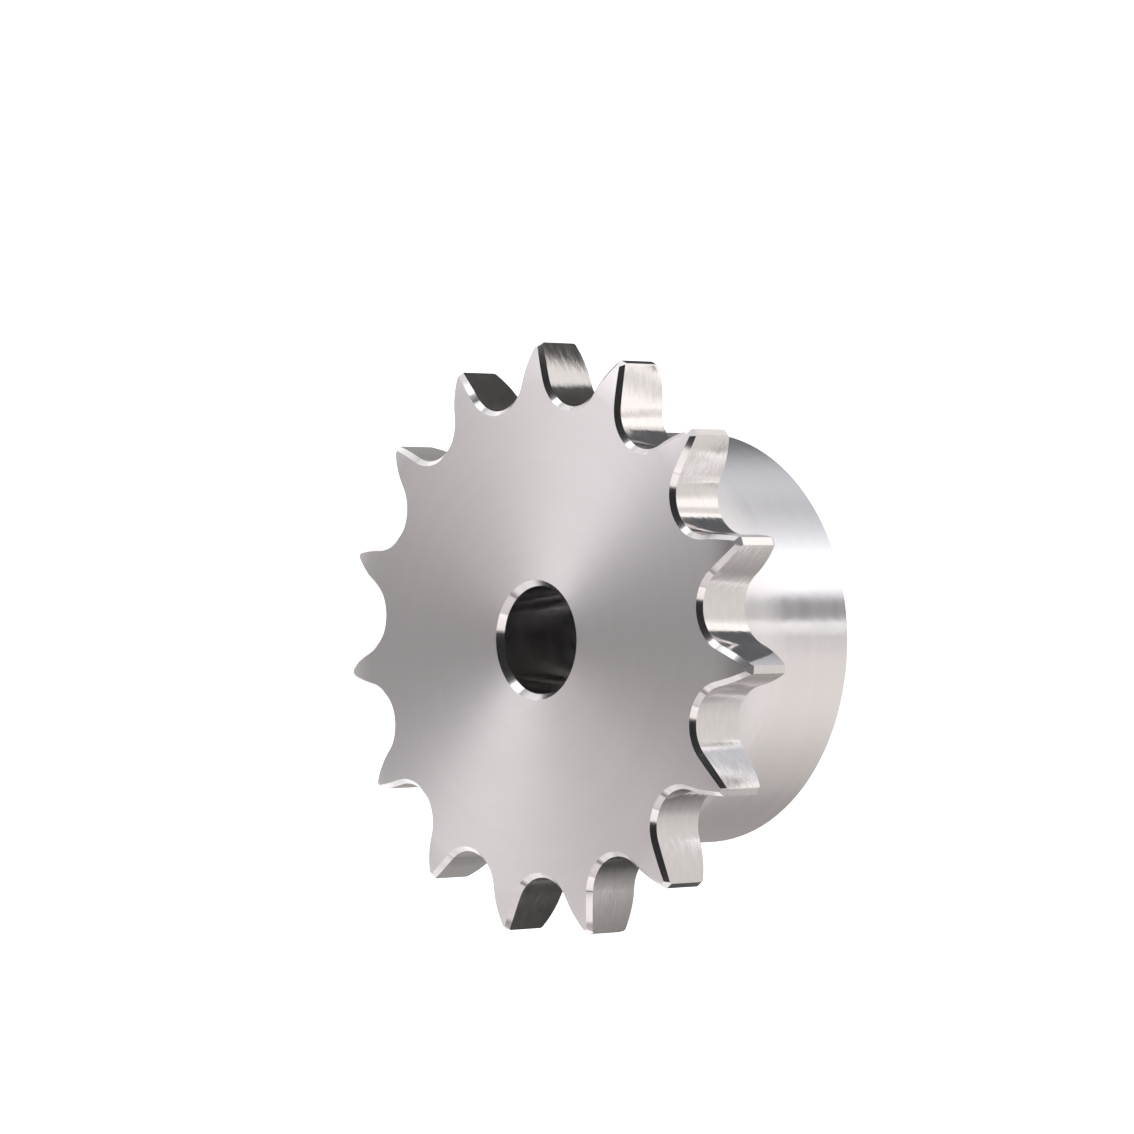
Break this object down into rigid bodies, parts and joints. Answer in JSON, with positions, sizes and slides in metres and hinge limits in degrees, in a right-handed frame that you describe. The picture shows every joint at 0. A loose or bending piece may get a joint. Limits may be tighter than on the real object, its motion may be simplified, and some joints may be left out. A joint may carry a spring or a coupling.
{
  "type": "chain sprocket",
  "caption": "Toothed wheel for a roller chain, with a plain round hub on one side and a through bore; its plate thins towards the tooth tips.",
  "frame": {"origin": "centre of the bore at the hub's end face, on which it stands", "axes": "+Z along the bore from the hub to the toothed plate, +Y through the middle of one tooth"},
  "size_m": [0.0492, 0.049, 0.0195],
  "materials": {
    "stainless_steel": "satin turned"
  },
  "bodies": {
    "root": {"sprocket": "stainless_steel"}
  },
  "joints": []
}
